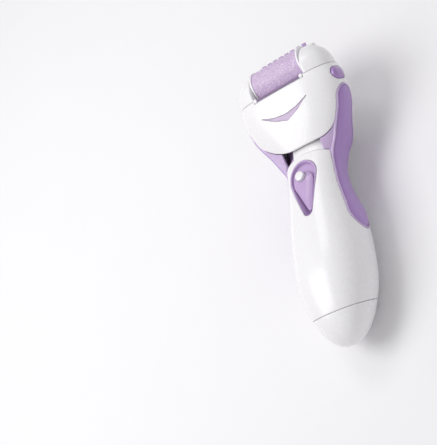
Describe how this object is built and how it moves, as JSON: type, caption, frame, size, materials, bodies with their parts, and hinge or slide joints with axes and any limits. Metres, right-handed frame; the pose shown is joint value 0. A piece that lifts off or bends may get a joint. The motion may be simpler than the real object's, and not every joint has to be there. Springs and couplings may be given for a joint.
{
  "type": "electric callus remover",
  "caption": "Cordless electric callus remover with a leaning head, a lift-off abrasive roller cartridge, a sliding switch with a lock button, side grips and a pull-off battery cover.",
  "frame": {"origin": "middle of the length and width, on the surface that the object lies on, under the rubber rest pad", "axes": "+Y from the battery end to the roller head, +Z out of the front face with the switch, +X to the right when the front face is seen with the head up"},
  "size_m": [0.071, 0.185, 0.0558],
  "materials": {
    "white_shell": "glossy white moulded plastic",
    "lilac_trim": "glossy pale lilac moulded plastic",
    "purple_grip": "satin purple moulded grip",
    "rubber_pad": "soft matt purple rubber",
    "abrasive": "fine lilac mineral grit",
    "steel": "plain turned and pressed steel",
    "brass": "plain brass",
    "circuit": "green solder resist",
    "dark_plastic": "matt dark plastic",
    "gear_plastic": "plain white acetal",
    "cell_sleeve": "printed metal sleeve without any lettering",
    "wire_cover": "red plastic insulation"
  },
  "bodies": {
    "casing": {"handle_front_shell": "white_shell", "handle_rear_shell": "white_shell", "rear_pad": "rubber_pad", "grip_left": "purple_grip", "grip_right": "purple_grip", "neck_frame": "lilac_trim", "neck_collar": "white_shell", "head_front_shell": "white_shell", "head_rear_shell": "white_shell", "chevron_inlay": "lilac_trim", "guard_comb": "lilac_trim", "switch_bezel": "lilac_trim", "circuit_board": "circuit", "slide_switch": "dark_plastic", "battery_tray": "dark_plastic", "battery_contacts": "brass", "battery_cell_1": "cell_sleeve", "battery_cell_2": "cell_sleeve", "battery_cell_3": "cell_sleeve", "battery_cell_4": "cell_sleeve", "wires": "wire_cover", "motor_can": "steel", "motor_bracket": "steel", "motor_screws": "steel", "idler_pin": "steel", "casing_screws": "steel"},
    "battery_door": {"battery_cover": "white_shell", "battery_springs": "steel", "cover_contact": "brass"},
    "switch": {"switch_slider": "lilac_trim", "lock_spring": "steel"},
    "lock": {"lock_button": "white_shell"},
    "motor_drive": {"motor_rotor": "steel", "motor_shaft": "steel", "motor_pinion": "brass"},
    "idler": {"idler_gear": "gear_plastic"},
    "cartridge": {"cartridge_cradle": "white_shell", "cap_left": "white_shell", "cap_right": "white_shell", "roller_axle": "steel"},
    "roller": {"roller_sleeve": "abrasive", "roller_core": "white_shell", "roller_bushes": "brass", "roller_gear": "gear_plastic"},
    "release": {"release_button": "purple_grip", "latch_hook": "steel", "release_spring": "steel"}
  },
  "joints": [
    {"name": "roller_spin", "type": "hinge", "parent": "cartridge", "child": "roller", "pos_m": [0, 0.07579, 0.04516], "axis": [1, 0, 0], "continuous": true},
    {"name": "idler_spin", "type": "hinge", "parent": "casing", "child": "idler", "pos_m": [0.0214, 0.06096, 0.03727], "axis": [1, 0, 0], "continuous": true},
    {"name": "motor_spin", "type": "hinge", "parent": "casing", "child": "motor_drive", "pos_m": [0.0214, 0.04895, 0.03089], "axis": [1, 0, 0], "continuous": true},
    {"name": "cartridge_lift", "type": "slide", "parent": "casing", "child": "cartridge", "axis": [0, 0.8829, 0.4695], "range_m": [0, 0.026]},
    {"name": "release_press", "type": "slide", "parent": "casing", "child": "release", "axis": [-1, 0, 0], "range_m": [0, 0.0018], "stiffness_N_per_m": 800, "deforming": ["release_spring"]},
    {"name": "switch_slide", "type": "slide", "parent": "casing", "child": "switch", "axis": [0, 1, 0], "range_m": [0, 0.0045]},
    {"name": "lock_press", "type": "slide", "parent": "switch", "child": "lock", "axis": [0, 0, -1], "range_m": [0, 0.001], "stiffness_N_per_m": 400, "deforming": ["lock_spring"]},
    {"name": "battery_door_slide", "type": "slide", "parent": "casing", "child": "battery_door", "axis": [0, -1, 0], "range_m": [0, 0.03]}
  ],
  "couplings": [
    {"joint": "idler_spin", "follows": "roller_spin", "ratio": -0.75},
    {"joint": "motor_spin", "follows": "roller_spin", "ratio": 1.8}
  ]
}
